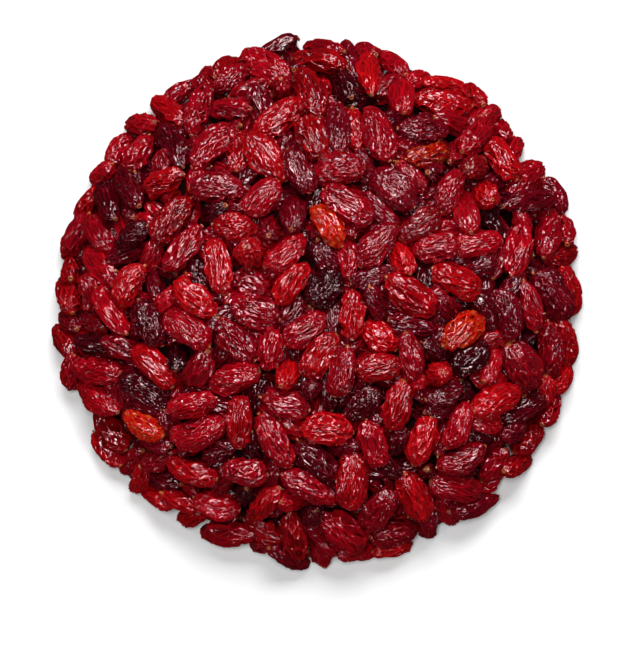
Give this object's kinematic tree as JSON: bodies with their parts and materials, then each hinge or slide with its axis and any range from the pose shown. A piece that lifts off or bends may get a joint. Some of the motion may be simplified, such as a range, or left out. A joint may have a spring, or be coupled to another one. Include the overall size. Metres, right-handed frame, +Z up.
{
  "type": "heap of dried barberries",
  "caption": "Round heap of dried barberries on a flat underside: a low dome with steep sides, made of small wrinkled oblong red berries.",
  "frame": {"origin": "middle of the flat underside, which lies on the table", "axes": "+Z up out of the table; +Y towards the top of the picture, +X towards its right"},
  "size_m": [0.0854, 0.0854, 0.0235],
  "materials": {
    "berry_skin": "glossy wrinkled dried fruit skin, deep red, from scarlet to near black"
  },
  "bodies": {
    "root": {"barberry_heap": "berry_skin"}
  },
  "joints": []
}
